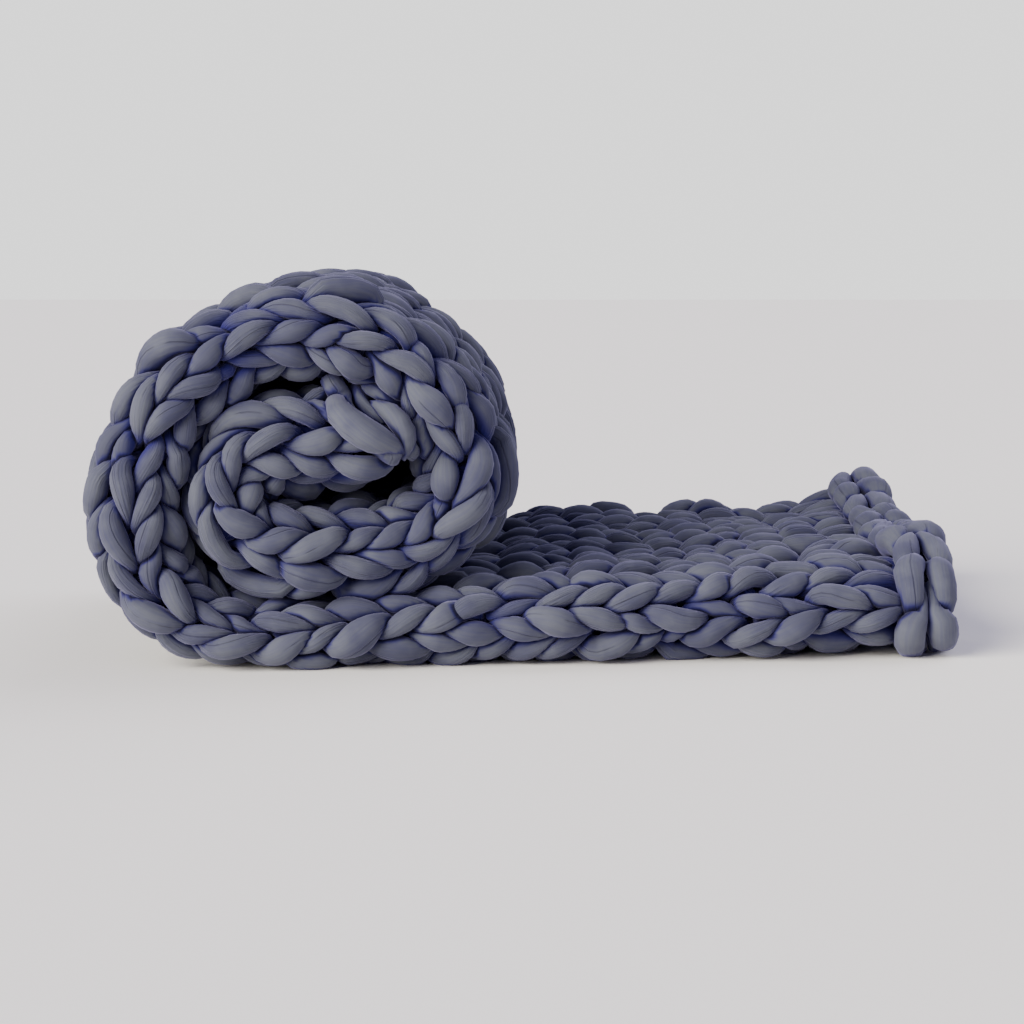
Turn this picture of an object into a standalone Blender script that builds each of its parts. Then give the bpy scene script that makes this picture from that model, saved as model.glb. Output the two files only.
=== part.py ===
"""A hand-knitted weighted blanket, folded once lengthwise and part rolled.

One cloth of stuffed tube yarn is folded in two, so that the fold faces the front and both selvedges lie at
the back. The doubled cloth, called the band here, is then rolled from one end. It leaves a flat tail on the
floor.

The solid is the band's folded section, carried along the route of the roll. Frame: metres, +Z up, X along
the tail, +Y to the back. The origin is on the floor, under the middle of the blanket.
"""

import math

import bmesh
import bpy
import numpy as np

# The cloth, laid out flat
CLOTH_WIDTH = 1.22
WALES = 19                  # columns of stitches across the width
COURSES = 46                # rows of stitches along the length

# The band: the cloth folded in two
BAND_WIDTH = CLOTH_WIDTH / 2
LAYER_SHARE = 0.47          # a layer's share of the band's thickness, so that the two lie a little apart
SLOT_PLACES = (0.0, 0.35, 0.7, 1.0)     # places between the layers, from the fold to the selvedges
SELVEDGE_ROUND = 0.012      # how far a selvedge's rounding reaches in from the edge
SELVEDGE_DROP = 0.30        # the share of the thickness that it takes off
SLANT = 0.095               # how far the cloth runs back for each metre to the right
SLANT_FROM = -0.16          # where along X the slant is nothing
BEND, BEND_FROM = 0.15, 0.1     # and how it grows past a place on the tail, in metres a square metre
FLOOR_BAND = 0.003          # stitches this near the floor are pressed flat on it
TO_MIDDLE = (-0.0042, -0.0283, 0.0)     # puts the origin under the middle

# The fold's wander to the front and back
FOLD_WAVES = (
    # height   radians a metre   start
    (0.0035,   9.0,              0.0),
    (0.0021,   23.4,             1.3),
)

# The stitches' relief
PRESSED_BACK = 0.0012       # kept off each face, so that turns which touch stay apart
GROOVE_DEPTH = 0.0070       # between one leg of a stitch and the next
WALE_DEPTH = 0.0025         # between one column of stitches and the next
MIDDLE_SHARE = 0.4          # how much of that a column's middle has
LINK_DEPTH = 0.0075         # between one link of the starting chain and the next
LEG_REACH = 0.95            # how far a leg runs along the cloth, in rows, from a column's edge to its middle
STRAIGHT_ROWS = 3           # half rows at each end in which the rows turn straight

# How far the columns lie off the fold: one column runs over it between the tail and the roll
DRIFT = (
    # distance  columns
    (0.00,      1.07),
    (0.10,      1.07),
    (0.30,      0.78),
    (0.50,      0.50),
    (0.65,      0.06),
    (0.95,      0.00),
    (1.10,      0.34),
    (1.20,      0.12),
    (1.36,      0.62),
    (1.58,      0.34),
    (1.66,      0.15),
    (1.84,      0.18),
)

# Where the tail's upper layer stands up: between two distances from its free end, in metres, and between two
# shares of the way from the fold to the back
RISES = (
    # place       height    none at  full at   none at  full at   ripple
    ("chain",      0.021,   0.080,   0.020,    0.00,    0.12,     0.0),
    ("dip",       -0.0126,  0.080,   0.020,    0.12,    0.47,     0.0),
    ("corner",     0.027,   0.120,   0.020,    0.40,    0.95,     0.0),
    ("selvedge",   0.008,   0.450,   0.350,    0.78,    0.98,     0.5),
)
RIPPLE = 38.0               # the selvedge's ripple, in radians a metre
HEM_LIFT = 0.008            # how far the lower layer's end is off the floor
HEM_FROM, HEM_TO = 0.022, -0.008        # the distances at which it starts and would be full
CURL_UPPER = 0.85           # how much of a rise the upper layer's underside follows
CURL_LOWER = 0.45           # and the lower layer's top

# The ends
CHAIN_LENGTH = 0.050        # the starting chain, along the tail's free end
TAIL_ROUND, TAIL_TIP = 0.026, 0.008     # the rounding of the tail's end, and its first step
CORE_ROUND, CORE_TIP = 0.046, 0.009     # the same for the loose end inside the roll
BLUNT = 0.42                # the share of the thickness that is left at an end's tip

# The loose end is pulled back on top of the core, and tucked back below it. The places are shares of the way
# across, from the selvedge that faces out of the roll, round the fold, to the other one.
PULL, PULL_FROM, PULL_TO = 0.043, 0.505, 0.435
PULL_FADES, PULL_GONE = 0.35, 0.20
TUCK, TUCK_FROM, TUCK_TO = 0.023, 0.545, 0.60
END_REACH = 0.24            # the length of the band that this bends

# The route of the band's middle, from the tail's free end to the cloth's end inside the roll
ROUTE = (
    # place                  x       z      thickness
    ("chain edge",          0.409,  0.046,  0.091),
    ("end of the tail",     0.338,  0.044,  0.088),
    ("tail",                0.210,  0.042,  0.084),
    ("tail, left",          0.083,  0.042,  0.084),
    ("beside the roll",    -0.022,  0.040,  0.080),
    ("under, right",       -0.100,  0.034,  0.068),
    ("under the roll",     -0.182,  0.029,  0.058),
    ("under, left",        -0.264,  0.030,  0.060),
    ("foot of the ring",   -0.322,  0.049,  0.076),
    ("ring, low left",     -0.353,  0.083,  0.080),
    ("ring, left",         -0.363,  0.128,  0.081),
    ("ring, left",         -0.361,  0.173,  0.081),
    ("ring, high left",    -0.345,  0.225,  0.082),
    ("ring, top left",     -0.316,  0.264,  0.084),
    ("ring, top left",     -0.273,  0.295,  0.086),
    ("ring, top",          -0.215,  0.314,  0.089),
    ("ring, top right",    -0.157,  0.305,  0.089),
    ("ring, high right",   -0.112,  0.273,  0.087),
    ("ring, right",        -0.079,  0.232,  0.086),
    ("ring, right",        -0.059,  0.188,  0.088),
    ("ring, low right",    -0.066,  0.150,  0.086),
    ("ring, low right",    -0.090,  0.122,  0.086),
    ("coil, bottom right", -0.129,  0.107,  0.087),
    ("coil, bottom",       -0.182,  0.104,  0.088),
    ("coil, bottom left",  -0.231,  0.107,  0.082),
    ("coil, low left",     -0.268,  0.124,  0.074),
    ("coil, left",         -0.282,  0.154,  0.070),
    ("coil, high left",    -0.270,  0.187,  0.074),
    ("coil, top",          -0.233,  0.203,  0.086),
    ("core",               -0.180,  0.205,  0.098),
    ("core's end",         -0.131,  0.214,  0.084),
)
STEPS_PER_SPAN = 40         # steps of the curve between two places of the route
FINE_STATIONS = 600         # stations along the smoothed route, closer than any stitch
ROUTE_SMOOTHING = 11        # stations on each side that a station is averaged with

YARN_COLOUR = (0.112, 0.118, 0.168, 1.0)
YARN_ROUGHNESS = 0.9


def clear_scene():
    """Remove every object, so that the script can run again."""
    for old in list(bpy.data.objects):
        bpy.data.objects.remove(old, do_unlink=True)


def smooth_curve(points):
    """Run a centripetal Catmull-Rom curve through the points; their x and z set its pace."""
    points = np.vstack([2 * points[0] - points[1], points, 2 * points[-1] - points[-2]])
    curve = []
    for a, b, c, d in zip(points, points[1:], points[2:], points[3:]):
        knots = [0.0]
        for p, q in ((a, b), (b, c), (c, d)):
            knots.append(knots[-1] + math.sqrt(np.linalg.norm((q - p)[:2])))
        t0, t1, t2, t3 = knots
        for t in np.linspace(t1, t2, STEPS_PER_SPAN, endpoint=False):
            ab = ((t1 - t) * a + (t - t0) * b) / (t1 - t0)
            bc = ((t2 - t) * b + (t - t1) * c) / (t2 - t1)
            cd = ((t3 - t) * c + (t - t2) * d) / (t3 - t2)
            abc = ((t2 - t) * ab + (t - t0) * bc) / (t2 - t0)
            bcd = ((t3 - t) * bc + (t - t1) * cd) / (t3 - t1)
            curve.append(((t2 - t) * abc + (t - t1) * bcd) / (t2 - t1))
    return np.array(curve + [points[-2]])


def even_steps(points):
    """Read the curve again at even distances."""
    steps = np.linalg.norm(np.diff(points[:, :2], axis=0), axis=1)
    along = np.concatenate([[0.0], np.cumsum(steps)])
    wanted = np.linspace(0.0, along[-1], FINE_STATIONS)
    return wanted, np.column_stack([np.interp(wanted, along, column) for column in points.T])


def averaged(points):
    """Average each station with its neighbours, keeping both ends in place."""
    reach = ROUTE_SMOOTHING + 1
    weights = np.hanning(2 * reach + 1)
    weights /= weights.sum()
    padded = np.pad(points, ((reach, reach), (0, 0)), mode="reflect", reflect_type="odd")
    return np.column_stack([np.convolve(column, weights, "valid") for column in padded.T])


class Route:
    """The band's middle line, with its outward side and its thickness at any distance from the free end."""

    def __init__(self):
        _, line = even_steps(smooth_curve(np.array([row[1:] for row in ROUTE])))
        self.along, line = even_steps(averaged(line))
        heading = np.gradient(line[:, :2], axis=0)
        heading /= np.linalg.norm(heading, axis=1)[:, None]
        self.columns = np.column_stack([line, -heading[:, 1], heading[:, 0]])
        self.length = self.along[-1]

    def at(self, distance):
        """Middle x and z, thickness, and the outward side's x and z."""
        return [float(np.interp(distance, self.along, column)) for column in self.columns.T]


def ramp(value, none_at, full_at):
    """Go smoothly from 0 at one value to 1 at another."""
    share = min(max((value - none_at) / (full_at - none_at), 0.0), 1.0)
    return share * share * (3.0 - 2.0 * share)


def end_share(distance, length):
    """The share of the thickness that is left near the band's two rounded ends."""
    share = 1.0
    for depth, reach in ((distance, TAIL_ROUND), (length - distance, CORE_ROUND)):
        if depth < reach:
            share = BLUNT + (1.0 - BLUNT) * math.sqrt(1.0 - (1.0 - max(depth, 0.0) / reach) ** 2)
    return share


def fold_middle(distance, x, thickness):
    """Where the fold's bend has its middle, towards the front or the back."""
    slant = SLANT * (x - SLANT_FROM) + BEND * max(0.0, x - BEND_FROM) ** 2
    wave = sum(height * math.sin(distance * pace + start) for height, pace, start in FOLD_WAVES)
    return -BAND_WIDTH / 2 + thickness / 2 + slant + wave


def upper_rise(distance, to_back):
    """How far the tail's upper layer stands up, at its chain, its back corner and its selvedge."""
    total = 0.0
    for _, height, along_none, along_full, back_none, back_full, ripple in RISES:
        place = ramp(distance, along_none, along_full) * ramp(to_back, back_none, back_full)
        total += height * place * (1.0 + ripple * math.sin(distance * RIPPLE))
    return total


def drifted(distance, share):
    """Move a place on the way across by as much as the columns there lie off the fold."""
    at, columns = zip(*DRIFT)
    return share + np.interp(distance, at, columns) / WALES * (1.0 - (2.0 * share - 1.0) ** 2)


def pulled_back(distance, walk, length):
    """Pull the last rows back along the band, above and below the fold's front."""
    above = ramp(walk, PULL_FROM, PULL_TO) * ramp(walk, PULL_GONE, PULL_FADES)
    below = ramp(walk, TUCK_FROM, TUCK_TO)
    return distance - (PULL * above + TUCK * below) * ramp(distance, length - END_REACH, length)


def relief(distance, length, row, middle):
    """How deep the relief is: V-shaped legs all over, and a row of links along the starting chain."""
    leg = GROOVE_DEPTH if row % 2 else 0.0
    stitches = leg + WALE_DEPTH * (MIDDLE_SHARE if middle else 1.0)
    links = 0.0 if middle else LINK_DEPTH
    chain = ramp(distance, 1.3 * CHAIN_LENGTH, 0.9 * CHAIN_LENGTH)
    core = ramp(distance, length, length - 2 * CORE_ROUND)
    return stitches * (1.0 - chain) * core + links * chain


def outer_point(route, distance, walk, groove):
    """A point of the band's outside, as a share of the way round it.

    walk runs from 0, at the selvedge of the layer that faces out of the roll, round the fold to 1, at the
    selvedge of the layer that faces in. groove is the depth of the relief there.
    """
    x, z, thickness, out_x, out_z = route.at(distance)
    flat = BAND_WIDTH - thickness / 2
    bend = math.pi * thickness / 2
    walked = walk * (2 * flat + bend)
    angle = min(max((walked - flat) / (thickness / 2), 0.0), math.pi)
    to_fold = max(flat - walked, walked - flat - bend, 0.0)
    to_selvedge = flat - to_fold
    half = thickness / 2 * end_share(distance, route.length) - PRESSED_BACK
    half *= 1.0 - SELVEDGE_DROP * (1.0 - min(to_selvedge / SELVEDGE_ROUND, 1.0))
    level = math.cos(angle) * (half - groove)
    y = fold_middle(distance, x, thickness) + to_fold - math.sin(angle) * (half - groove)
    z += out_z * level + HEM_LIFT * ramp(distance, HEM_FROM, HEM_TO) * max(0.0, math.cos(angle))
    on_floor = z - abs(math.cos(angle)) * groove < FLOOR_BAND
    z += upper_rise(distance, to_fold / flat) * max(0.0, -math.cos(angle))
    return x + out_x * level, y, 0.0 if on_floor else z


def inner_point(route, distance, to_back, side):
    """A point of the narrow space between the two layers, from the fold (0) to the selvedges (1)."""
    x, z, thickness, out_x, out_z = route.at(distance)
    gap = thickness * (0.5 - LAYER_SHARE) * end_share(distance, route.length) * side
    flat = BAND_WIDTH - thickness / 2
    curl = upper_rise(distance, to_back) * (CURL_UPPER if side < 0 else CURL_LOWER)
    return x + out_x * gap, fold_middle(distance, x, thickness) + flat * to_back, z + out_z * gap + curl


def section_steps():
    """The places round the band's outside: every column's edge and middle, and one by each selvedge."""
    steps = [(step / (2 * WALES), step % 2 == 1) for step in range(2 * WALES + 1)]
    near = SELVEDGE_ROUND / CLOTH_WIDTH
    return [steps[0], (near, False)] + steps[1:-1] + [(1.0 - near, False), steps[-1]]


def row_steps(length):
    """The places along the band: every stitch's leg and groove, and one by each rounded end."""
    rows = [(row / (2 * COURSES) * length, row) for row in range(2 * COURSES + 1)]
    return [rows[0], (TAIL_TIP, 0)] + rows[1:-1] + [(length - CORE_TIP, 0), rows[-1]]


def section(route, along, row):
    """One row's places: round the outside, and back through the space between the layers."""
    places = []
    fade = min(1.0, row / STRAIGHT_ROWS, (2 * COURSES - row) / STRAIGHT_ROWS)
    for share, middle in section_steps():
        reach = LEG_REACH * (-0.5 if middle else 0.5) * fade * route.length / COURSES
        walk = drifted(along + reach, share)
        groove = relief(along + reach, route.length, row, middle)
        places.append(outer_point(route, pulled_back(along + reach, walk, route.length), walk, groove))
    for side, across in ((-1, SLOT_PLACES[::-1]), (1, SLOT_PLACES)):
        for to_back in across:
            distance = pulled_back(along, (1.0 - side * to_back) / 2, route.length)
            places.append(inner_point(route, distance, to_back, side))
    return places


def build_blanket():
    """Carry the folded section along the route, row by row, and close it at both ends."""
    route = Route()
    work = bmesh.new()
    rings = []
    for along, row in row_steps(route.length):
        rings.append([work.verts.new(place) for place in section(route, along, row)])
    for ring, following in zip(rings, rings[1:]):
        for a in range(len(ring)):
            b = (a + 1) % len(ring)
            work.faces.new((ring[a], ring[b], following[b], following[a]))
    work.faces.new(rings[0])
    work.faces.new(rings[-1])
    bmesh.ops.triangulate(work, faces=work.faces[:])
    bmesh.ops.recalc_face_normals(work, faces=work.faces[:])
    bmesh.ops.translate(work, verts=work.verts[:], vec=TO_MIDDLE)
    mesh = bpy.data.meshes.new("knit_blanket")
    work.to_mesh(mesh)
    work.free()
    blanket = bpy.data.objects.new("knit_blanket", mesh)
    bpy.context.scene.collection.objects.link(blanket)
    corners = np.array(blanket.bound_box)
    print("band length", round(route.length, 4), "triangles", len(mesh.polygons))
    print("from", corners.min(axis=0), "to", corners.max(axis=0))
    return blanket


def yarn_material():
    """Matt blue-grey jersey."""
    material = bpy.data.materials.new("blue grey jersey yarn")
    material.use_nodes = True
    shader = material.node_tree.nodes["Principled BSDF"]
    shader.inputs["Base Color"].default_value = YARN_COLOUR
    shader.inputs["Roughness"].default_value = YARN_ROUGHNESS
    shader.inputs["Metallic"].default_value = 0.0
    return material


clear_scene()
knit_blanket = build_blanket()
knit_blanket.data.materials.append(yarn_material())
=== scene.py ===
# %% [markdown]
# # A hand-knitted weighted blanket, folded and part rolled
# The real thing is one long tube of cotton jersey, stuffed with fibre, that someone knits with their arms.
# The loops are as thick as a thumb, so every one of them shows. It could be made as a smooth cloth with a
# picture of stitches on it, but the loops throw shadows on each other and stand out at the outline. So this
# lesson knits it: one thread is led through all the loops, bent along the fold and the roll, and then
# plumped up until it meets its neighbours.

# %% Open the frame
import math

import bpy
import numpy as np
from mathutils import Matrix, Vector
from mathutils.kdtree import KDTree


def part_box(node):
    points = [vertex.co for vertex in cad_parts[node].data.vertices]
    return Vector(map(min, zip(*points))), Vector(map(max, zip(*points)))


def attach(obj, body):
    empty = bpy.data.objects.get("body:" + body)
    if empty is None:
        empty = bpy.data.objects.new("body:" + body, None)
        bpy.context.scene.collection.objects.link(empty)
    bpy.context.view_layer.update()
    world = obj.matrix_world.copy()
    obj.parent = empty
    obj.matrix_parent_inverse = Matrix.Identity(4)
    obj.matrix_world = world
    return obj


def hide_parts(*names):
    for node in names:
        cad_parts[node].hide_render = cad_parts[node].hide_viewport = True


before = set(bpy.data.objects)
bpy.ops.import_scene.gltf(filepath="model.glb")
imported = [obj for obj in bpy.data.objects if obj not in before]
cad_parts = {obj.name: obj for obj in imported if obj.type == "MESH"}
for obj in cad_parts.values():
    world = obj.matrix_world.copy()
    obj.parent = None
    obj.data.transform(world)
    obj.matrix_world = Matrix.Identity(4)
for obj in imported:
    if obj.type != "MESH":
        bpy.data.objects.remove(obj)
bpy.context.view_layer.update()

NODE = "knit_blanket"
node_low, node_high = (np.array(corner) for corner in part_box(NODE))
print("the folded cloth's box:", node_low.round(3), node_high.round(3))

# %% [markdown]
# ## The route of the roll
# Folded in two, the blanket is a thick band. Seen from its fold, the band's middle line runs from the free
# end of the tail, under the roll and round it, to the loose end inside. A few places with the band's
# thickness there say all of it, and a smooth curve joins them. A spiral from a formula would be quicker, but
# a real roll sags under its own weight and isn't round.

# %% The route's places
BAND_WIDTH = 0.61           # the cloth, 1.22 m wide, folded in two
TO_MIDDLE = (-0.0042, -0.0283)      # from the route's own zero to the frame's, along X and Y
ROUTE = (
    # place                  x       z      thickness
    ("chain edge",          0.409,  0.046,  0.091),
    ("end of the tail",     0.338,  0.044,  0.088),
    ("tail",                0.210,  0.042,  0.084),
    ("tail, left",          0.083,  0.042,  0.084),
    ("beside the roll",    -0.022,  0.040,  0.080),
    ("under, right",       -0.100,  0.034,  0.068),
    ("under the roll",     -0.182,  0.029,  0.058),
    ("under, left",        -0.264,  0.030,  0.060),
    ("foot of the ring",   -0.322,  0.049,  0.076),
    ("ring, low left",     -0.353,  0.083,  0.080),
    ("ring, left",         -0.364,  0.128,  0.084),
    ("ring, left",         -0.362,  0.173,  0.084),
    ("ring, high left",    -0.346,  0.226,  0.086),
    ("ring, top left",     -0.317,  0.265,  0.087),
    ("ring, top left",     -0.273,  0.295,  0.086),
    ("ring, top",          -0.215,  0.314,  0.089),
    ("ring, top right",    -0.157,  0.305,  0.089),
    ("ring, high right",   -0.112,  0.273,  0.087),
    ("ring, right",        -0.079,  0.232,  0.086),
    ("ring, right",        -0.059,  0.188,  0.088),
    ("ring, low right",    -0.066,  0.150,  0.086),
    ("ring, low right",    -0.090,  0.122,  0.086),
    ("coil, bottom right", -0.129,  0.107,  0.087),
    ("coil, bottom",       -0.182,  0.105,  0.094),
    ("coil, bottom left",  -0.231,  0.107,  0.089),
    ("coil, low left",     -0.268,  0.124,  0.083),
    ("coil, left",         -0.282,  0.156,  0.078),
    ("coil, high left",    -0.273,  0.194,  0.082),
    ("coil, top",          -0.234,  0.210,  0.097),
    ("core",               -0.180,  0.208,  0.106),
    ("core's end",         -0.131,  0.214,  0.084),
)
print("the route has", len(ROUTE), "places")

# %% [markdown]
# ### A smooth curve
# A Catmull-Rom curve passes through every place, which a spline with handles wouldn't do without tuning. Its
# pace follows the square root of the distance between places, so it makes no loops where they lie close. The
# same blend of four places draws the route here and the thread later.

# %% Join the places with a smooth curve
STEPS_PER_SPAN = 40         # steps of the curve between two places of the route


def between(t, knots, places):
    """Blend four places of a curve at one moment t, given the moments of all four."""
    while len(places) > 2:
        reach = len(knots) - len(places) + 1
        places = [((knots[k + reach] - t) * places[k] + (t - knots[k]) * places[k + 1])
                  / (knots[k + reach] - knots[k]) for k in range(len(places) - 1)]
    return ((knots[2] - t) * places[0] + (t - knots[1]) * places[1]) / (knots[2] - knots[1])


def smooth_curve(points):
    """Run the curve through the points; their first two numbers set its pace."""
    points = np.vstack([2 * points[0] - points[1], points, 2 * points[-1] - points[-2]])
    curve = []
    for a, b, c, d in zip(points, points[1:], points[2:], points[3:]):
        knots = [0.0]
        for p, q in ((a, b), (b, c), (c, d)):
            knots.append(knots[-1] + math.sqrt(np.linalg.norm((q - p)[:2])))
        for t in np.linspace(knots[1], knots[2], STEPS_PER_SPAN, endpoint=False):
            curve.append(between(t, knots, (a, b, c, d)))
    return np.array(curve + [points[-2]])


curve = smooth_curve(np.array([row[1:] for row in ROUTE]))
print("the curve has", len(curve), "steps")

# %% Read the curve at even stations
FINE_STATIONS = 600         # stations along the smoothed route, closer than any stitch
ROUTE_SMOOTHING = 11        # stations on each side that a station is averaged with


def even_steps(points):
    """Read the curve again at even distances."""
    steps = np.linalg.norm(np.diff(points[:, :2], axis=0), axis=1)
    run = np.concatenate([[0.0], np.cumsum(steps)])
    wanted = np.linspace(0.0, run[-1], FINE_STATIONS)
    return wanted, np.column_stack([np.interp(wanted, run, column) for column in points.T])


def averaged(points):
    """Average each station with its neighbours, keeping both ends in place."""
    reach = ROUTE_SMOOTHING + 1
    weights = np.hanning(2 * reach + 1)
    weights /= weights.sum()
    padded = np.pad(points, ((reach, reach), (0, 0)), mode="reflect", reflect_type="odd")
    return np.column_stack([np.convolve(column, weights, "valid") for column in padded.T])


_, line = even_steps(curve)
along, line = even_steps(averaged(line))
heading = np.gradient(line[:, :2], axis=0)
heading /= np.linalg.norm(heading, axis=1)[:, None]
stations = np.column_stack([line, -heading[:, 1], heading[:, 0]])
BAND_LENGTH = along[-1]
print("the band is", round(BAND_LENGTH, 3), "m long")

# %% [markdown]
# ## From flat cloth to folded and rolled cloth
# A knitter thinks of the cloth as flat: so many rows along, so many columns across. This step takes a place
# on that flat cloth, with a depth below its face, and says where it lies in the room. Across the cloth it
# goes from one selvedge at the back, round the fold at the front, to the other selvedge. Along the cloth it
# follows the route. The loops can then be drawn once, flat, and the fold and roll bend them.

# %% Say how the cloth lies off its route
SLANT = 0.095               # how far the cloth runs back for each metre to the right
SLANT_FROM = -0.16          # where along X the slant is nothing
BEND, BEND_FROM = 0.15, 0.1     # and how it grows past a place on the tail, in metres a square metre
FOLD_WAVES = (
    # height   radians a metre   start
    (0.0035,   9.0,              0.0),
    (0.0021,   23.4,             1.3),
)


def ramp(value, none_at, full_at):
    """Go smoothly from 0 at one value to 1 at another."""
    share = np.clip((value - none_at) / (full_at - none_at), 0.0, 1.0)
    return share * share * (3.0 - 2.0 * share)


def fold_offset(distance, x):
    """How far the fold lies behind the front of the band, where it slants and wanders."""
    slant = SLANT * (x - SLANT_FROM) + BEND * np.maximum(0.0, x - BEND_FROM) ** 2
    return slant + sum(height * np.sin(distance * pace + start) for height, pace, start in FOLD_WAVES)


print("at the tail's end the fold lies", round(float(fold_offset(0.0, 0.4)) * 1000), "mm back")

# %% [markdown]
# ### The tail's upper layer stands up in places
# The starting chain is a thick ridge, so it stands up behind the fold. The back corner curls, and the
# selvedge ripples. Each is a small rise between two distances from the free end, and between two shares of
# the way from the fold to the back. They could be pushed up by hand afterwards, but then the loops would be
# stretched.

# %% Raise the upper layer
RISES = (
    # place       height    none at  full at   none at  full at   ripple
    ("chain",      0.021,   0.080,   0.020,    0.00,    0.12,     0.0),
    ("dip",       -0.0126,  0.080,   0.020,    0.12,    0.47,     0.0),
    ("corner",     0.027,   0.100,   0.020,    0.40,    0.95,     0.0),
    ("selvedge",   0.008,   0.450,   0.350,    0.78,    0.98,     0.5),
)
RIPPLE = 38.0               # the selvedge's ripple, in radians a metre
HEM_LIFT = 0.012            # how far the lower layer's end is off the floor
HEM_FROM, HEM_TO = 0.022, -0.008        # the distances at which it starts and would be full


def upper_rise(distance, to_back):
    """How far the tail's upper layer stands up, at its chain, its back corner and its selvedge."""
    total = 0.0
    for _, height, along_none, along_full, back_none, back_full, ripple in RISES:
        place = ramp(distance, along_none, along_full) * ramp(to_back, back_none, back_full)
        total = total + height * place * (1.0 + ripple * np.sin(distance * RIPPLE))
    return total


print("the back corner stands up", round(float(upper_rise(0.02, 1.0)) * 1000), "mm")

# %% Place flat cloth in the room
def in_the_room(distance, walk, depth):
    """Where a place of the cloth lies, the way its face looks there, and how deep it is in metres.

    distance is in metres along the band from the tail's free end. walk is the share of the way across, from
    one selvedge round the fold to the other. depth is below the band's outside, as a share of half its
    thickness. Each may be an array.
    """
    x, z, thick, out_x, out_z = (np.interp(distance, along, column) for column in stations.T)
    past = distance - np.clip(distance, 0.0, BAND_LENGTH)
    x, z = x + out_z * past, z - out_x * past
    half = thick / 2
    flat, bend = BAND_WIDTH - half, math.pi * half
    walked = walk * (2 * flat + bend)
    angle = np.clip((walked - flat) / half, 0.0, math.pi)
    to_fold = np.where(walked > flat, np.maximum(walked - flat - bend, 0.0), flat - walked)
    middle = -BAND_WIDTH / 2 + half + fold_offset(distance, x)
    level = half * (1.0 - depth)
    lift = upper_rise(distance, to_fold / flat) * np.maximum(0.0, -np.cos(angle))
    lift = lift + HEM_LIFT * ramp(distance, HEM_FROM, HEM_TO) * np.maximum(0.0, np.cos(angle))
    place = np.stack([
        x + out_x * np.cos(angle) * level + TO_MIDDLE[0],
        middle + to_fold - np.sin(angle) * level + TO_MIDDLE[1],
        z + out_z * np.cos(angle) * level + lift,
    ], axis=-1)
    face = np.stack([out_x * np.cos(angle), -np.sin(angle), out_z * np.cos(angle)], axis=-1)
    return place, face, half * depth


probe, _, _ = in_the_room(np.array([0.3, 0.3]), np.array([0.0, 0.5]), np.array([0.0, 0.0]))
print("selvedge and fold, 0.3 m from the free end:", probe.round(3).tolist())

# %% [markdown]
# ## The columns drift over the fold
# Nobody folds a blanket exactly along a column. Here the fold crosses one whole column between the tail and
# the top of the roll, and wanders back inside. The table says how far one column, the middle one, lies from
# the fold's front, and its neighbours follow it, less and less towards the selvedges. At the core the last
# rows are pulled back on top and tucked back below, as when a hand has started the roll.

# %% Say where the columns lie
WALES = 19                  # columns of stitches across the cloth
EDGE = 0.012                # the share of the way across that each selvedge's turns take
DRIFT = (
    # distance  columns
    (0.00,      1.07),
    (0.10,      1.07),
    (0.30,      0.78),
    (0.50,      0.50),
    (0.65,      0.06),
    (0.95,      0.00),
    (1.10,      0.34),
    (1.20,      0.12),
    (1.36,      0.62),
    (1.58,      0.34),
    (1.66,      0.15),
    (1.84,      0.18),
)
PULL, PULL_FROM, PULL_TO = 0.043, 0.505, 0.435      # in metres, between two shares of the way across
PULL_FADES, PULL_GONE = 0.35, 0.20      # the shares where the pull begins to fade, and is gone
TUCK, TUCK_FROM, TUCK_TO = 0.023, 0.545, 0.60
END_REACH = 0.24            # the length of the band that the pull and the tuck bend


def on_the_band(distance, column):
    """Turn a place given by its distance and column into the distance and the share of the way across."""
    at, drifts = np.array(DRIFT).T
    share = EDGE + (1.0 - 2 * EDGE) * column / WALES
    walk = share + np.interp(distance, at, drifts) / WALES * (1.0 - (2 * share - 1.0) ** 2)
    above = ramp(walk, PULL_FROM, PULL_TO) * ramp(walk, PULL_GONE, PULL_FADES)
    below = ramp(walk, TUCK_FROM, TUCK_TO)
    near_end = ramp(distance, BAND_LENGTH - END_REACH, BAND_LENGTH)
    return distance - (PULL * above + TUCK * below) * near_end, walk


print("the fold crosses", max(row[1] for row in DRIFT), "columns")

# %% [markdown]
# ## One stitch
# Plain knitting shows its smooth side here. Each stitch is a loop pulled through the loop before it, and
# what shows of it is a V: two plump legs that start close together and spread. The loop's head and the two
# feet that join it to its neighbours lie behind. Drawing only the V's would do for a picture, but the whole
# loop makes each leg dive under the next one by itself, as in the real cloth, so the whole loop is drawn.

# %% The loop's places
# along is in rows, across in columns and behind from 0, at the face, to 1, at the back. thick is in metres,
# and steps is how many pieces the thread has up to the next place.
LOOP = (
    # place          along   across  behind  thick   steps
    ("joint",       -0.20,  -0.500,  1.00,   0.0175, 1),
    ("foot",        -0.16,  -0.270,  0.98,   0.0170, 1),
    ("root",        -0.02,  -0.115,  0.64,   0.0165, 3),
    ("leg, low",     0.28,  -0.150,  0.18,   0.0190, 3),
    ("leg, middle",  0.74,  -0.245,  0.00,   0.0236, 3),
    ("leg, high",    1.15,  -0.335,  0.10,   0.0206, 2),
    ("shoulder",     1.42,  -0.360,  0.50,   0.0190, 1),
    ("head's side",  1.54,  -0.220,  0.92,   0.0170, 1),
    ("head",         1.58,   0.000,  1.00,   0.0170, 1),
)
COURSES = 46                # rows of stitches along the cloth
ROWS_FROM, ROWS_TO = 0.054, 0.018       # where the rows start and stop, from the band's two ends
ROW = (BAND_LENGTH - ROWS_FROM - ROWS_TO) / COURSES
COLUMN = 0.0668             # a column's width, for the loop's own proportions
LAYER = 0.042               # and a layer's thickness
LOOP_SCALE = np.array([ROW, COLUMN, 0.5 * LAYER, 1.0])
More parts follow.
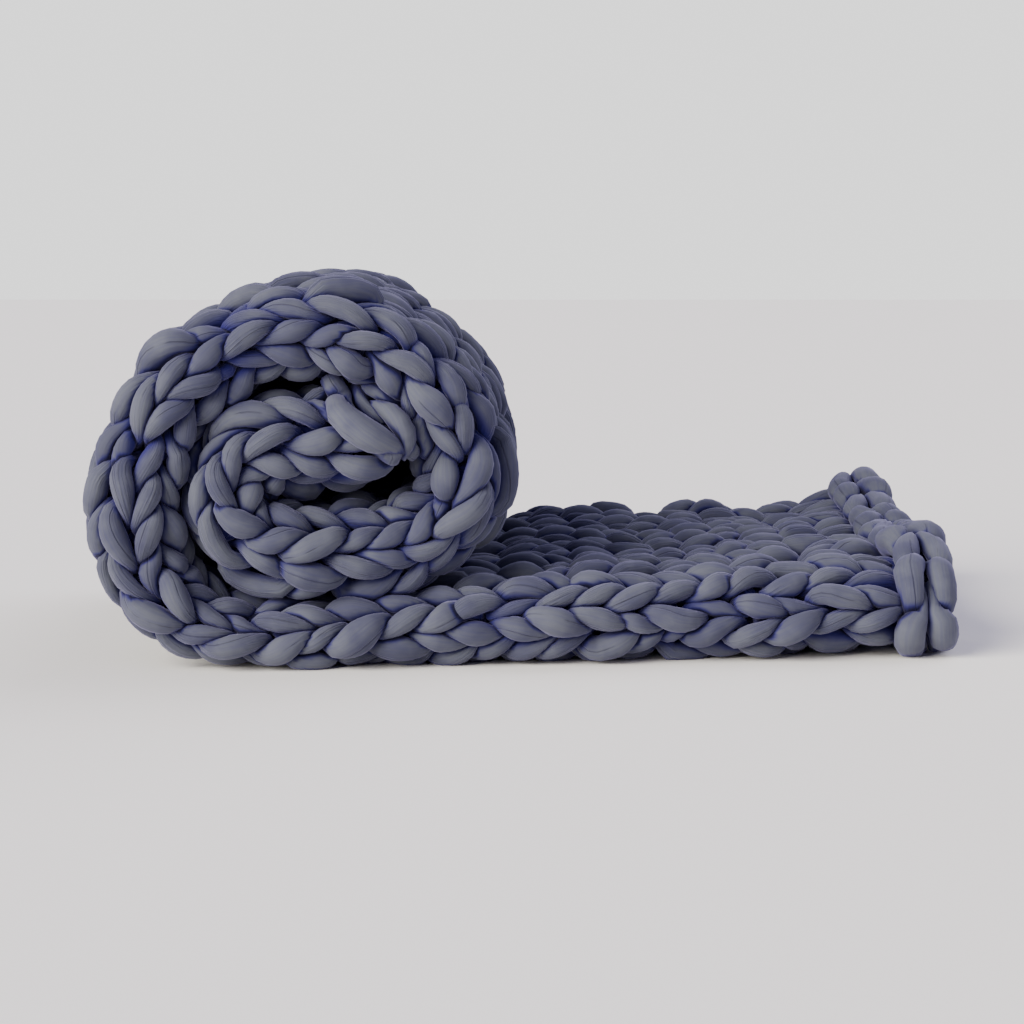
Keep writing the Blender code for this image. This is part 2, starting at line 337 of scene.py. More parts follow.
print("a row is", round(ROW * 1000, 1), "mm")


# %% Read a smooth thread through the loop's places
def swept(places, counts, scale):
    """Run a smooth thread through the places, with a count of steps for each inner span."""
    result = []
    scaled = places * scale
    for k, count in enumerate(counts):
        four = scaled[k:k + 4]
        steps = [np.linalg.norm((q - p)[:3]) ** 0.5 for p, q in zip(four, four[1:])]
        knots = np.cumsum([0.0] + steps)
        for t in np.linspace(knots[1], knots[2], count, endpoint=False):
            result.append(between(t, knots, four))
    return np.array(result) / scale


def whole_loop(half):
    """Mirror the table's half loop, and read it as a smooth thread."""
    left = np.array([row[1:5] for row in half])
    right = (left * [1, -1, 1, 1])[-2::-1]
    to_joint = np.array([-0.04, -0.23, 0.02, 0.0])
    before, after = left[0] + to_joint, right[-1] + to_joint * [1, -1, 1, 1]
    counts = [row[5] for row in half[:-1]]
    return swept(np.vstack([before, left, right, after]), counts + counts[::-1], LOOP_SCALE)


one_loop = whole_loop(LOOP)
print("a loop is read at", len(one_loop), "places")

# %% [markdown]
# ## Knit it by hand
# No two loops of a hand-knitted blanket are alike: rows lean, and a leg is fuller here and tighter there.
# Each loop gets small offsets of its own, read smoothly along the row so that the thread never jumps. They
# come from a seeded generator, so the blanket is the same each time.

# %% Lead the thread through a row
ROW_WANDER = 0.09           # how far a row is off its place, in rows
LEG_WANDER, SIDE_WANDER = 0.15, 0.060       # how far a leg is, in rows along and in columns across
HEIGHT_WANDER, FULLNESS_WANDER = 0.22, 0.12     # how much higher and fuller a leg is than the next
hand = np.random.default_rng(11)


def along_the_row(values, across):
    """Read values given for each half column smoothly at places across the row."""
    spot = np.clip(across * 2.0 - 0.5, 0.0, len(values) - 1.001)
    low = spot.astype(int)
    share = ramp(spot - low, 0.0, 1.0)
    return values[low] * (1.0 - share) + values[low + 1] * share


def knit_row(row):
    """The thread of one row: along, across, behind and thick at each of its places."""
    loops = np.tile(one_loop, (WALES, 1))
    loops[:, 1] += np.repeat(np.arange(WALES), len(one_loop)) + 0.5
    loops = np.vstack([loops, one_loop[:1] + [0.0, WALES + 0.5, 0.0, 0.0]])
    wanders = (LEG_WANDER, SIDE_WANDER, HEIGHT_WANDER, FULLNESS_WANDER)
    forward, sideways, height, fuller = (hand.normal(0.0, size, 2 * WALES + 2) for size in wanders)
    a, q, w, t = loops.T
    a = a + row + hand.normal(0.0, ROW_WANDER) + along_the_row(forward, q)
    w = np.clip(w + along_the_row(height, q) * (1.0 - w), -0.2, 1.1)
    t = t * (1.0 + along_the_row(fuller, q))
    q = q + along_the_row(sideways, q)
    return np.column_stack([a, q, w, t])[::-1 if row % 2 else 1]


print("a row runs through", len(knit_row(0)), "places")

# %% [markdown]
# ### Turn at the selvedge
# At the end of a row the thread turns back and knits the next one the other way. That makes the small loops
# down the two selvedges. The blanket is knitted in six stretches, so that no mesh gets too heavy.

# %% The turn
TURN_PLACES = 5             # places that a turn at the selvedge has
TURN_OUT, TURN_UP = 0.28, 0.45          # how far it swings out, in columns, and towards the face


def selvedge_turn(last, first):
    """The few places where the thread turns from one row's end to the next row's start."""
    share = np.linspace(0.0, 1.0, TURN_PLACES + 2)[1:-1]
    turn = last + (first - last) * share[:, None]
    turn[:, 1] += TURN_OUT * np.sin(share * math.pi) * (1.0 if last[1] > WALES / 2 else -1.0)
    turn[:, 2] -= TURN_UP * np.sin(share * math.pi)
    return turn


print("a turn adds", len(selvedge_turn(one_loop[0], one_loop[-1])), "places")

# %% Knit the rows
LEG_DEPTH, BACK_DEPTH = 0.24, 0.76      # of the legs and of what lies behind, as shares of half the band
PIECES = 6
OPEN_EDGE = (0.015, 0.075)  # the shares of the way across where a selvedge is open to the light, and isn't


def knit_piece(first_row, last_row):
    """One unbroken thread from the first row to before the last: its places, faces, radii and depths."""
    parts = []
    for row in range(first_row, last_row):
        thread = knit_row(row)
        if parts:
            parts.append(selvedge_turn(parts[-1][-1], thread[0]))
        parts.append(thread)
    a, q, w, t = np.vstack(parts).T
    distance, walk = on_the_band(ROWS_FROM + a * ROW, q)
    place, face, deep = in_the_room(distance, walk, LEG_DEPTH + (BACK_DEPTH - LEG_DEPTH) * w)
    inside = ramp(np.minimum(walk, 1.0 - walk), OPEN_EDGE[0], OPEN_EDGE[1])
    return place, face, t / 2, deep * inside


cuts = [round(COURSES * k / PIECES) for k in range(PIECES + 1)]
threads = {f"rows_{k + 1}": knit_piece(cuts[k], cuts[k + 1]) for k in range(PIECES)}
for name, thread in threads.items():
    print(name, "runs through", len(thread[0]), "places")

# %% [markdown]
# ## The two chains
# Knitting starts on a chain and ends with one: a single column of thicker loops that lies along the edge.
# The first is the ridge at the tail's free end. The last closes the cloth at the core of the roll.

# %% The link's places
LINK = (
    # place          along   across  behind  thick   steps
    ("back",        -0.55,   0.000,  1.05,   0.0190, 2),
    ("root",        -0.16,  -0.080,  0.75,   0.0175, 3),
    ("leg, low",     0.20,  -0.165,  0.30,   0.0235, 3),
    ("leg, middle",  0.66,  -0.245,  0.00,   0.0300, 3),
    ("leg, high",    1.10,  -0.262,  0.02,   0.0272, 3),
    ("shoulder",     1.37,  -0.180,  0.50,   0.0208, 2),
    ("head",         1.48,   0.000,  0.95,   0.0190, 1),
)
LINKS = 18                  # one from each column to the next
CHAIN_WIDTH = 0.058
CHAIN_BACK = 0.45           # how much deeper a link's back lies than its face, as a share of half the band
END_JOINTS = 0.3            # how far the thread runs on past the first and the last place, in links


def chain_places():
    """Repeat the link along the chain, and read it as a smooth thread with a place or two to each end."""
    half = np.array([row[1:5] for row in LINK[1:]])
    link = np.vstack([np.array([LINK[0][1:5]]), half, (half * [1, -1, 1, 1])[-2::-1]])
    places = np.vstack([link + [k, 0.0, 0.0, 0.0] for k in range(LINKS)])
    counts = [row[5] for row in LINK[:-1]]
    counts = ((counts + counts[:0:-1] + [2]) * LINKS)[:len(places) - 1]
    step = np.array([END_JOINTS, 0.1, 0.0, 0.0])
    links = np.vstack([places[0] - step, places, places[-1] + step])
    return swept(links, counts, np.array([COLUMN, CHAIN_WIDTH, 0.5 * LAYER, 1.0]))


one_chain = chain_places()
print("a chain runs through", len(one_chain), "places")

# %% [markdown]
# ### The link that was dragged aside
# The hand that started the roll has dragged one leg of the last chain aside, and pushed the links below it
# in. So at the core that leg leans across the others, higher and fuller, and the links before it lie deep
# inside. The starting chain gets none of this, because its lean is nothing. All of it is in radians of lean.

# %% Lean a leg, and tuck the links below it
LEANING_LINK = 9            # the link at the fold
LEG_MIDDLE = (0.65, -0.22)  # the middle of its inner leg, along and across
LEG_SHORTENED = 0.35        # how much shorter the leg is
LEG_RAISED, LEG_FULLER = 0.5, 0.35      # how much nearer to the face it lies, and how much fuller it is
TUCKED_FROM, TUCKED_TO = 0.3, -0.2      # the links are tucked in between these places of the leaning one
TUCKED_BACK, TUCKED_THIN = 1.8, 0.3     # how much deeper they lie, and how much thinner they are


def tucked_in(a, w, t, lean):
    """Push the links before the leaning one back, and press them thinner."""
    tucked = ramp(a, LEANING_LINK + TUCKED_FROM, LEANING_LINK + TUCKED_TO) * lean
    return w + TUCKED_BACK * tucked, t * (1.0 - TUCKED_THIN * tucked)


def leaned(a, q, w, t, lean):
    """Turn the inner leg of the link at the fold about its own middle."""
    along_link = a - LEANING_LINK
    share = ramp(along_link, -0.1, 0.3) * ramp(along_link, 1.5, 1.1) * ramp(-q, 0.0, 0.10)
    angle = lean * share
    off_a, off_q = (along_link - LEG_MIDDLE[0]) * COLUMN, (q - LEG_MIDDLE[1]) * CHAIN_WIDTH
    off_a = off_a * (1.0 - LEG_SHORTENED * angle)
    a = LEANING_LINK + LEG_MIDDLE[0] + (off_a * np.cos(angle) + off_q * np.sin(angle)) / COLUMN
    q = LEG_MIDDLE[1] + (off_q * np.cos(angle) - off_a * np.sin(angle)) / CHAIN_WIDTH
    return a, q, w - LEG_RAISED * angle, t * (1.0 + LEG_FULLER * angle)


print("the links before", LEANING_LINK, "are tucked in at the core")

# %% Lay a chain along each end
CHAIN_ROUND, ROUND_POWER = 0.9, 1.5     # how fast, and how, the chain's outer side falls away
LINK_WANDERS = (0.09, 0.06, 0.09, 0.12)     # along, across, in fullness and in height
CHAIN_START = 0.2           # where a chain starts, in links from the selvedge
CHAIN_SPAN = LINKS + 1.4    # the links that would fill the cloth's whole width


def chain_thread(middle, outwards, depth, fuller, shift, lean):
    """The thread of a chain along one end.

    middle is the distance along the band, and outwards is the way off the cloth. depth is that of the legs,
    fuller is a share of the table's thickness, and shift is in links.
    """
    a, q, w, t = one_chain.T
    forward, sideways, thicker, higher = (hand.normal(0.0, size, 2 * WALES + 2) for size in LINK_WANDERS)
    a = a + along_the_row(forward, a)
    q = q + along_the_row(sideways, a)
    t = t * (1.0 + along_the_row(thicker, a))
    w = w + along_the_row(higher, a) * (1.0 - w)
    w, t = tucked_in(a, w, t, lean)
    a, q, w, t = leaned(a, q, w, t, lean)
    column = WALES * (1.0 - (a + CHAIN_START + shift) / CHAIN_SPAN)
    distance, walk = on_the_band(middle + outwards * q * CHAIN_WIDTH, column)
    deeper = depth + CHAIN_BACK * w + CHAIN_ROUND * np.maximum(0.0, q) ** ROUND_POWER
    place, face, _ = in_the_room(distance, walk, deeper)
    return place, face, t * fuller / 2, np.zeros(len(t))


threads["starting_chain"] = chain_thread(0.031, -1.0, 0.16, 1.0, 0.17, 0.0)
threads["last_chain"] = chain_thread(BAND_LENGTH + 0.006, 1.0, 0.10, 0.86, 0.1, math.radians(42))
print("each chain has", LINKS, "links")

# %% [markdown]
# ## Plump the thread up
# The stuffing pushes the thread out until it meets the threads beside it, and there both go flat. So at each
# place the thread grows in several directions, closer together on its outer side. In each it stops halfway
# to the nearest thread, at the floor, or at its own full size, whichever comes first. Where neighbours
# squeeze it, it grows a little fuller on its free side, because the stuffing has to go somewhere. A cloth
# simulation would press them as well, but it can't hold nearly nine hundred loops apart in a few minutes.

# %% Find each place's directions
SIDES = 17
CROWDING = 0.30             # how much closer the directions are on the outer side than on the inner one
ON_THE_FLOOR = 0.006        # how far over the floor a thread's middle line stays
middles = np.vstack([thread[0] for thread in threads.values()])
middles[:, 2] = np.maximum(middles[:, 2], ON_THE_FLOOR)
faces = np.vstack([thread[1] for thread in threads.values()])
full = np.concatenate([thread[2] for thread in threads.values()])
deep = np.concatenate([thread[3] for thread in threads.values()])
owner = np.repeat(np.arange(len(threads)), [len(thread[0]) for thread in threads.values()])

tangent = np.vstack([np.gradient(thread[0], axis=0) for thread in threads.values()])
tangent /= np.linalg.norm(tangent, axis=1)[:, None]
side = np.cross(tangent, faces)
side /= np.linalg.norm(side, axis=1)[:, None]
up = np.cross(side, tangent)
even = np.arange(SIDES) / SIDES
angle = 2 * math.pi * (even - 0.5)
turns = angle - CROWDING * np.sin(angle)
ways = np.cos(turns)[None, :, None] * up[:, None, :] + np.sin(turns)[None, :, None] * side[:, None, :]
print("directions, in degrees from the outer side:", np.degrees(turns).round().tolist())

# %% [markdown]
# ### Where two threads meet
# Between two places of different threads lies a plane, nearer to the thinner one, that both stop at. Only
# places closer than the reach can meet, and a search tree finds them quickly. Neighbours on the same thread
# are left out, unless the thread has come back to itself.

# %% Find how far each direction may go
REACH = 0.034               # threads further apart than this don't meet
NEXT_PLACES = 2             # a place's own neighbours along the thread
GAP = 0.0002                # left between two threads
LEAST = 0.002               # what a thread keeps in any direction

tree = KDTree(len(middles))
for k, middle in enumerate(middles):
    tree.insert(middle, k)
tree.balance()
near = [[found[1] for found in tree.find_range(middle, REACH)] for middle in middles]
here = np.repeat(np.arange(len(middles)), [len(found) for found in near])
there = np.concatenate(near)
apart = (owner[here] != owner[there]) | (np.abs(here - there) > NEXT_PLACES)
here, there = here[apart], there[apart]
print("threads meet at", len(here), "pairs of places")

# %% Stop at the planes between them
ASIDE = 1e-5                # a way that points less far than this to a neighbour doesn't meet it
FAR = 1.0                   # the limit, in metres, of a way that meets nothing
gap = middles[there] - middles[here]
pull = (gap ** 2).sum(axis=1) * full[here] / (full[here] + full[there])
facing = np.einsum("psc,pc->ps", ways[here], gap)
bound = np.where(facing > ASIDE, pull[:, None] / np.maximum(facing, ASIDE), FAR)
met, starts = np.unique(here, return_index=True)
limit = np.full((len(middles), SIDES), FAR)
limit[met] = np.minimum.reduceat(bound, starts, axis=0)
limit = np.minimum(limit, middles[:, 2, None] / np.maximum(-ways[:, :, 2], ASIDE))
limit = np.maximum(limit - GAP, LEAST)
print("places that a neighbour stops:", len(met), "of", len(middles))

# %% [markdown]
# ### Fill it
# The reach in a direction goes smoothly from the thread's own radius to the plane that stops it. Then each
# place is blown up a little, until its section has the area it would have if nothing pressed on it. Stuffing
# is never quite even, so the skin also gets shallow lumps, a few millimetres to a few centimetres long.

# %% Fill the threads
SOFTNESS = 7.0              # how sharply a thread goes from round to flat
MOST_SWELLING = 1.12        # and how much fuller it may get
PATIENCE = 0.7              # the share of the swelling that is made good in each of five rounds
LUMPS = 0.030               # the lumps' height, as a share of the radius


def softened(values, rounds):
    """Average values with their neighbours along the thread and round it."""
    for _ in range(rounds):
        values = values * 0.5 + (np.roll(values, 1, axis=0) + np.roll(values, -1, axis=0)) * 0.25
        values = values * 0.5 + (np.roll(values, 1, axis=1) + np.roll(values, -1, axis=1)) * 0.25
    return values / values.std()


size = full.copy()
for _ in range(5):
    reach = (size[:, None] ** -SOFTNESS + limit ** -SOFTNESS) ** (-1.0 / SOFTNESS)
    filled = np.sqrt((reach ** 2).mean(axis=1))
    size = np.clip(size * (full / filled) ** PATIENCE, full, full * MOST_SWELLING)
lumps = softened(hand.normal(0.0, 1.0, reach.shape), 3)
reach = reach * (1.0 + LUMPS * np.clip(lumps, -2.0, 2.0))
reach = np.minimum(reach, limit)
print("threads swell by up to", (size / full).max().round(2), "times")

# %% Smooth along the thread, and narrow its ends
TIP = (0.35, 0.72, 0.92)    # how the yarn narrows to each tied-off end, place by place
for _ in range(2):
    inner = reach[1:-1] * 0.5 + (reach[:-2] + reach[2:]) * 0.25
    same = (owner[1:-1] == owner[:-2]) & (owner[1:-1] == owner[2:])
    reach[1:-1] = np.where(same[:, None], inner, reach[1:-1])
for number in range(len(threads)):
    mine = np.flatnonzero(owner == number)
    for step, share in enumerate(TIP):
        reach[mine[[step, -1 - step]]] *= share
print("threads reach", (reach.min() * 1000).round(1), "to", (reach.max() * 1000).round(1), "mm out")

# %% [markdown]
# ### What the material will want to know
# Three things about each point of the skin help its colour and its creases. How hard it is pressed paints
# shade into the lines where threads meet. How sheltered it lies, well below the band's outside, paints a
# deeper violet shade on it. How gathered the thread is there, where it narrows to pass behind another, puts
# lengthwise creases in it.

# %% Measure the skin
SHELTER_FROM, SHELTER_TO = 0.004, 0.021     # metres below the band's outside
GATHER_FROM, GATHER_TO = 0.0120, 0.0095     # the thread's radius where it is smooth, and fully gathered
NOT_PRESSED = 1.6           # a plane this many radii away doesn't press at all
pressed = np.clip(NOT_PRESSED - limit / full[:, None], 0.0, 1.0)
outwards = np.einsum("psc,pc->ps", ways, faces) * reach
sheltered = ramp(deep[:, None] - outwards, SHELTER_FROM, SHELTER_TO)
gathered = np.repeat(ramp(full, GATHER_FROM, GATHER_TO)[:, None], SIDES, axis=1)
print("sheltered on average:", sheltered.mean().round(2), "gathered:", gathered.mean().round(2))

# %% [markdown]
# ## A skin for each thread
# The jersey is a tube, sewn shut along its length. Rings of points round the middle line make that tube, and
# a small fan closes each end. A curve with a bevel would make one too, but it can't be flat on one side. The
# map runs along the thread in metres, and round it from 0 to 1, with its half on the outer side.

# %% The tube's faces
def tube_faces(count):
    """The squares between the rings, and a fan at each end."""
    ring = np.arange(count - 1)[:, None] * SIDES
    turn = np.arange(SIDES)[None, :]
    after = (turn + 1) % SIDES
    quads = np.stack([ring + turn, ring + after, ring + SIDES + after, ring + SIDES + turn], axis=-1)
    last = (count - 1) * SIDES
    first_fan = [(count * SIDES, (s + 1) % SIDES, s) for s in range(SIDES)]
    last_fan = [(count * SIDES + 1, last + s, last + (s + 1) % SIDES) for s in range(SIDES)]
    return quads.reshape(-1, 4).tolist() + first_fan + last_fan


print("three rings take", len(tube_faces(3)), "faces")

# %% The tube's map
def map_thread(mesh, places):
    """Give the tube its map: metres along, and turns round."""
    run = np.concatenate([[0.0], np.cumsum(np.linalg.norm(np.diff(places, axis=0), axis=1))])
    shape = (len(places) - 1, SIDES)
    here, ahead = np.broadcast_to(run[:-1, None], shape), np.broadcast_to(run[1:, None], shape)
    turn = np.broadcast_to(np.arange(SIDES) / SIDES, shape)
    corners = np.zeros((len(mesh.loops), 2))
    squares = 4 * shape[0] * SIDES
    corners[:squares, 0] = np.stack([here, here, ahead, ahead], axis=-1).ravel()
    corners[:squares, 1] = np.stack([turn, turn + 1 / SIDES, turn + 1 / SIDES, turn], axis=-1).ravel()
    mesh.uv_layers.new(name="thread").data.foreach_set("uv", corners.ravel())


print("the map's longest thread has", max(len(thread[0]) for thread in threads.values()), "rings")

# %% Make the meshes
def skin(name, mine):
    """Close a mesh round one thread, and write what was measured on its points."""
    places = middles[mine]
    rings = (places[:, None, :] + ways[mine] * reach[mine][:, :, None]).reshape(-1, 3)
    rings[:, 2] = np.maximum(rings[:, 2], GAP)
    mesh = bpy.data.meshes.new(name)
    mesh.from_pydata(np.vstack([rings, places[:1], places[-1:]]).tolist(), [], tube_faces(len(places)))
    map_thread(mesh, places)
    for label, values in (("pressed", pressed), ("sheltered", sheltered), ("gathered", gathered)):
        values = np.concatenate([values[mine].ravel(), [1.0, 1.0]])
        mesh.attributes.new(label, "FLOAT", "POINT").data.foreach_set("value", values)
    mesh.shade_smooth()
    piece = bpy.data.objects.new(name, mesh)
    bpy.context.scene.collection.objects.link(piece)
    return piece


pieces = {name: skin(name, owner == number) for number, name in enumerate(threads)}
total = 0
for name, piece in pieces.items():
    triangles = sum(len(polygon.vertices) - 2 for polygon in piece.data.polygons)
    total += triangles
    print(name, "has", triangles, "triangles")
print("in all", total)

# %% [markdown]
# ## Brushed cotton jersey
# Jersey is a fine knit. Brushed, it is matt, with a soft pile that catches light at the edges. Dyed slate
# blue, it is nearly grey where light falls on it straight, and deep violet where the light has bounced from
# fibre to fibre, down between the loops. A flat colour would miss all that. So the colour paints that violet
# shade in, following what was measured on the skin, and the sheen of the shader stands for the pile.

# %% Two helpers for materials
def linear(text):
    """Turn an sRGB hex colour into the linear colour that a shader takes."""
    parts = [int(text[k:k + 2], 16) / 255 for k in (1, 3, 5)]
    return tuple(c / 12.92 if c <= 0.04045 else ((c + 0.055) / 1.055) ** 2.4 for c in parts) + (1.0,)


def add_node(carrier, kind, settings=None, links=None):
    """Add a node to a material or world, set its settings and sockets, and link its inputs."""
    node = carrier.node_tree.nodes.new(kind)
    for name, value in (settings or {}).items():
        if isinstance(name, str) and hasattr(node, name):
            setattr(node, name, value)
        else:
            node.inputs[name].default_value = value
    for name, output in (links or {}).items():
        carrier.node_tree.links.new(output, node.inputs[name])
    return node


# %% The jersey's shader
jersey = bpy.data.materials.new("Brushed cotton jersey")
jersey.use_nodes = True
shader = jersey.node_tree.nodes["Principled BSDF"]
shader.inputs["Roughness"].default_value = 0.9       # brushed cotton has no gloss
shader.inputs["Specular IOR Level"].default_value = 0.25     # and its fibres reflect little
shader.inputs["Sheen Weight"].default_value = 0.27   # the pile, which lightens the edges
shader.inputs["Sheen Roughness"].default_value = 0.4
shader.inputs["Sheen Tint"].default_value = linear("#c4c0f6")
print("made the material", jersey.name)

# %% [markdown]
# ### The colour
# The dye takes a little unevenly over hand's breadths, so the open colour wanders between two slates.
# Painted shade turns it violet where the skin is sheltered, and darker navy in the lines where it is
# pressed.

# %% Mix the colour
LIT, LIT_TOO = linear("#555862"), linear("#434555")
# Painted shade: violet for sheltered places, creases and where threads press, navy for the pressed lines and
# the seam's furrow.
SHADE_VIOLET, SHADE_NAVY = linear("#1b175a"), linear("#04031e")
MOTTLE = 1 / 0.045          # one cloud of dye in 45 mm


def mixed(factor, first, second):
    """Mix two colours, each a value or another node's output."""
    settings, links = {"data_type": "RGBA"}, {0: factor}
    for socket, colour in ((6, first), (7, second)):
        if isinstance(colour, tuple):
            settings[socket] = colour
        else:
            links[socket] = colour
    return add_node(jersey, "ShaderNodeMix", settings, links).outputs[2]


def spread(value, low, high, start=0.0, end=1.0):
    """Read a value between two others as one that goes smoothly from start to end."""
    settings = {"interpolation_type": "SMOOTHSTEP", "From Min": low, "From Max": high,
                "To Min": start, "To Max": end}
    return add_node(jersey, "ShaderNodeMapRange", settings, {"Value": value}).outputs["Result"]


def measured(name):
    """Read what was measured on the skin."""
    return add_node(jersey, "ShaderNodeAttribute", {"attribute_name": name}).outputs["Fac"]


place = add_node(jersey, "ShaderNodeTexCoord").outputs["Object"]
clouds = add_node(jersey, "ShaderNodeTexNoise", {"Scale": MOTTLE, "Detail": 3.0}, {"Vector": place})
open_colour = mixed(spread(clouds.outputs["Fac"], 0.35, 0.65), LIT, LIT_TOO)
# Painted shade: violet where the skin lies sheltered, then violet and navy in the lines where threads press
# together.
shaded = mixed(spread(measured("sheltered"), 0.0, 1.0), open_colour, SHADE_VIOLET)
edge_shade = mixed(spread(measured("pressed"), 0.12, 0.62, 0.0, 0.85), shaded, SHADE_VIOLET)
line_shade = mixed(spread(measured("pressed"), 0.38, 0.78, 0.0, 0.95), edge_shade, SHADE_NAVY)
print("a cloud of dye is", round(1000 / MOTTLE), "mm across")

# %% [markdown]
# ### The seam and the creases
# The tube's sewn seam wanders round the thread, so it shows on some legs and hides behind others. It is a
# thin furrow, pulled shut in places, where it fades. Where the thread narrows, the spare jersey lies in
# lengthwise creases. All of these are too fine for the mesh, so they are bump, with heights in millimetres.
# The shade in the creases and in the seam's furrow is painted into the colour as well.

# %% A helper for sums
def sums(operation, *values):
    """Do one sum with values or other nodes' outputs."""
    settings, links = {"operation": operation}, {}
    for socket, value in enumerate(values):
        if isinstance(value, float):
            settings[socket] = value
        else:
            links[socket] = value
    return add_node(jersey, "ShaderNodeMath", settings, links).outputs["Value"]


# %% Draw the seam
ROUND = 78.0                # the way round the thread, in mm
SEAM_TURN = 1.2             # how often the seam changes its mind, in times a metre
SEAM_SWING = 1.3            # how far it wanders, in turns
SEAM_DEEP, SEAM_GONE = 0.3, 1.1         # mm from the seam where it is full, and where it is gone
SEAM_SHUT, SEAM_OPEN = 0.36, 0.50       # the clouds where it is pulled shut, and where it shows
thread_map = add_node(jersey, "ShaderNodeUVMap", {"uv_map": "thread"})
split = add_node(jersey, "ShaderNodeSeparateXYZ", links={0: thread_map.outputs["UV"]})
metres, turn = split.outputs["X"], split.outputs["Y"]
wander = add_node(jersey, "ShaderNodeTexNoise",
                  {"noise_dimensions": "1D", "Scale": SEAM_TURN, "Detail": 1.0}, {"W": metres})
swing = sums("SUBTRACT", wander.outputs["Fac"], 0.5)
seam_at = sums("FRACT", sums("MULTIPLY_ADD", swing, SEAM_SWING, 0.5))
off_seam = sums("MULTIPLY", sums("ABSOLUTE", sums("SUBTRACT", turn, seam_at)), ROUND)
seam_shows = spread(clouds.outputs["Fac"], SEAM_SHUT, SEAM_OPEN)
seam = sums("MULTIPLY", spread(off_seam, SEAM_DEEP, SEAM_GONE, 1.0, 0.0), seam_shows)
print("the seam is", 2 * SEAM_GONE, "mm wide")

# %% Draw the creases
CREASE_LENGTH, CREASE_WIDTH = 38.0, 3.2     # in mm
LEAST_CREASE, MOST_CREASE = 0.3, 2.2    # how deep they are where the thread is full, and gathered, in mm
GRAIN_LENGTH = 20.0
GRAIN = 2.4                 # the jersey's own ribs; really 1 mm apart, drawn wider so that they show


def streaky(length, width, settings):
    """A noise drawn out along the thread, to streaks of this length and width in mm."""
    stretch = add_node(jersey, "ShaderNodeMapping", {"Scale": (1000 / length, ROUND / width, 1.0)},
                       {"Vector": thread_map.outputs["UV"]})
    noise = add_node(jersey, "ShaderNodeTexNoise", settings, {"Vector": stretch.outputs["Vector"]})
    return noise.outputs["Fac"]


creases = streaky(CREASE_LENGTH, CREASE_WIDTH, {"Scale": 1.0, "Detail": 3.0, "Roughness": 0.6})
crease_depth = spread(measured("gathered"), 0.0, 1.0, LEAST_CREASE, MOST_CREASE)
crease_height = sums("MULTIPLY", sums("SUBTRACT", creases, 0.5), crease_depth)
grain = streaky(GRAIN_LENGTH, GRAIN, {"Scale": 1.0, "Detail": 1.0})
print("creases are", CREASE_WIDTH, "mm wide and ribs", GRAIN, "mm")

# %% Put the heights together
SEAM_DEPTH, GRAIN_DEPTH = 0.6, 0.35     # in mm
height = sums("ADD", crease_height, sums("MULTIPLY", seam, -SEAM_DEPTH))
height = sums("ADD", height, sums("MULTIPLY", grain, GRAIN_DEPTH))
bump = add_node(jersey, "ShaderNodeBump", {"Strength": 1.0, "Distance": 0.001}, {"Height": height})

# %% Paint shade into the creases and the seam's furrow
# Painted shade: the creases darken towards violet, and the seam's furrow towards navy.
CREASE_SHADE, SEAM_SHADE = 0.13, 0.35         # how dark the painted shade in the creases and in the seam's furrow is
streaks = sums("MULTIPLY", spread(creases, 0.60, 0.38), CREASE_SHADE)
crease_shaded = mixed(streaks, line_shade, SHADE_VIOLET)
colour = mixed(sums("MULTIPLY", seam, SEAM_SHADE), crease_shaded, SHADE_NAVY)
jersey.node_tree.links.new(colour, shader.inputs["Base Color"])
jersey.node_tree.links.new(bump.outputs["Normal"], shader.inputs["Normal"])
print("the material has", len(jersey.node_tree.nodes), "nodes")

# %% [markdown]
# ## Dress the pieces
# Every piece lies still with the blanket and takes the place of its plain solid. They are all
# knitted from the same yarn, so they share one material and one slot, and a new yarn changes them together.

# %% Dress the pieces
for piece in pieces.values():
    piece.data.materials.append(jersey)
    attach(piece, "root")
    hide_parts(NODE)
print("dressed", len(pieces), "pieces")

# %% [markdown]
# ## A plain studio
# The blanket lies on a sheet of pale paper that goes on to the horizon. A large softbox stands at the left
# front, a little above the camera, and a weaker one behind on the right fills the roll's shadow. The sky is
# dim and a little violet, as light is that has bounced about. A window's light from one side alone would be
# simpler, but it would leave the back nearly black.

# %% Floor
bpy.ops.object.select_all(action="DESELECT")
bpy.ops.mesh.primitive_plane_add(size=30.0, location=(0, 0, 0))
floor = bpy.context.active_object
floor.name = "floor"
paper = bpy.data.materials.new("White paper")
paper.use_nodes = True
sheet = paper.node_tree.nodes["Principled BSDF"]
sheet.inputs["Base Color"].default_value = linear("#fffdf4")
sheet.inputs["Roughness"].default_value = 0.9        # uncoated paper is matt, so its shadows stay soft
floor.data.materials.append(paper)
print("the floor is", round(floor.dimensions.x), "m wide")

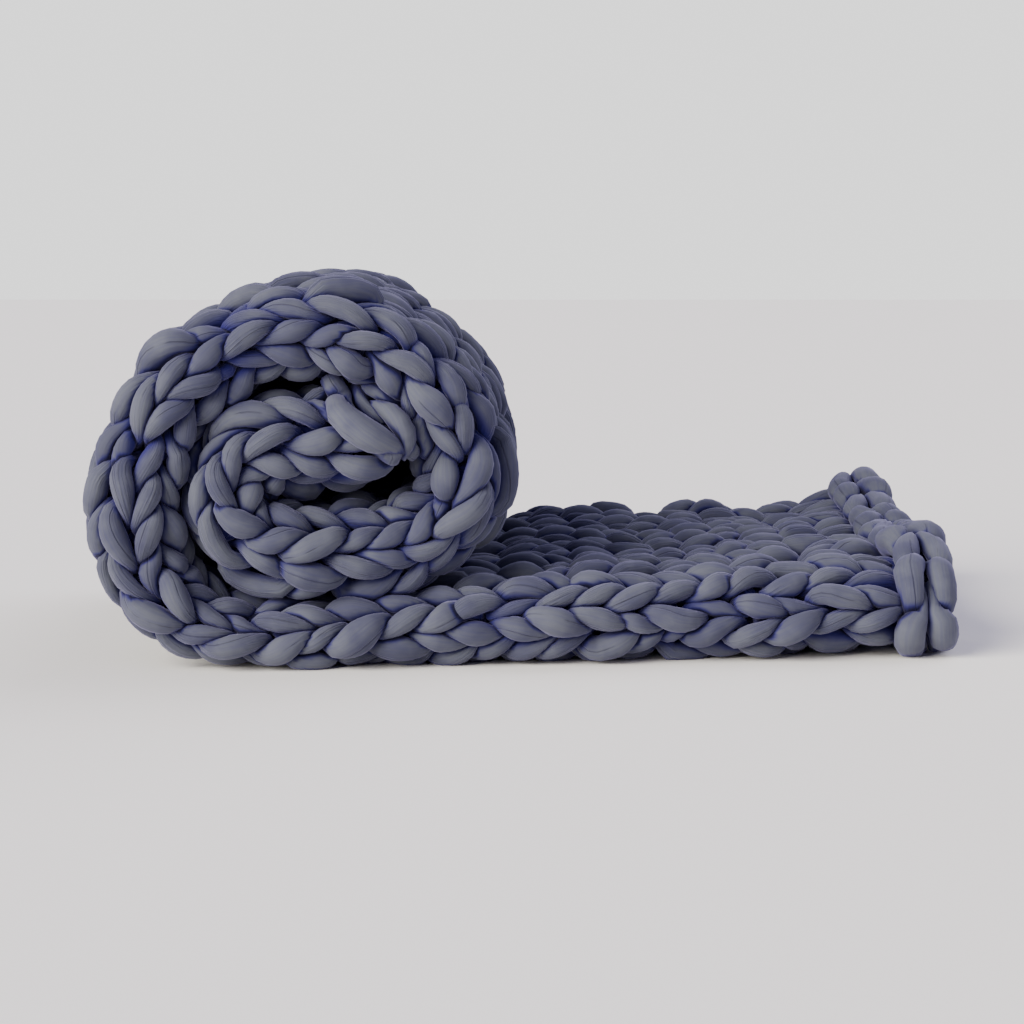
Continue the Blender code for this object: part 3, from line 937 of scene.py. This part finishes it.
# %% Sky
SKY_LIGHT = 0.42            # how bright the sky lights the blanket
BACKDROP = 1.62             # and how bright it looks behind it
world = bpy.data.worlds.new("studio")
world.use_nodes = True
light = world.node_tree.nodes["Background"]
light.inputs["Color"].default_value = linear("#ccc6ff")
light.inputs["Strength"].default_value = SKY_LIGHT
backdrop = add_node(world, "ShaderNodeBackground", {"Color": linear("#ffffff"), "Strength": BACKDROP})
seen = add_node(world, "ShaderNodeLightPath").outputs["Is Camera Ray"]
sky = add_node(world, "ShaderNodeMixShader", links={0: seen, 1: light.outputs[0], 2: backdrop.outputs[0]})
world.node_tree.links.new(sky.outputs[0], world.node_tree.nodes["World Output"].inputs["Surface"])
bpy.context.scene.world = world
print("the sky's light is", SKY_LIGHT)

# %% Softboxes
def softbox(name, towards, energy, angle, colour):
    """Put a far softbox in a direction: its light, how wide it looks in degrees, and its colour."""
    lamp = bpy.data.lights.new(name, "SUN")
    lamp.energy = energy
    lamp.angle = math.radians(angle)
    lamp.color = linear(colour)[:3]
    box = bpy.data.objects.new(name, lamp)
    box.rotation_euler = Vector(towards).to_track_quat("Z", "Y").to_euler()
    bpy.context.scene.collection.objects.link(box)


softbox("softbox", towards=(-0.74, -0.58, 0.45), energy=7.1, angle=50, colour="#fffaf0")
softbox("fill", towards=(0.60, 0.56, 0.57), energy=2.0, angle=60, colour="#f4f2ff")
print("two softboxes")

# %% [markdown]
# ### The camera
# It stands low in front of the fold, 2.4 m away, and looks a little down, so that the roll shows its spiral
# and the tail its top. Its long lens keeps the roll's near and far ends nearly the same size.

# %% Camera
LENS = 93.97                # in mm, on a sensor 36 mm wide
DOWN = 5.81                 # how far it looks down, in degrees
camera_data = bpy.data.cameras.new("camera")
camera_data.lens = LENS
camera_data.sensor_width = 36.0
camera = bpy.data.objects.new("camera", camera_data)
camera.location = (-0.0202, -2.7609, 0.3934)
camera.rotation_euler = (math.radians(90 - DOWN), 0.0, 0.0)
bpy.context.scene.collection.objects.link(camera)
bpy.context.scene.camera = camera
print("the camera looks down by", DOWN, "degrees")
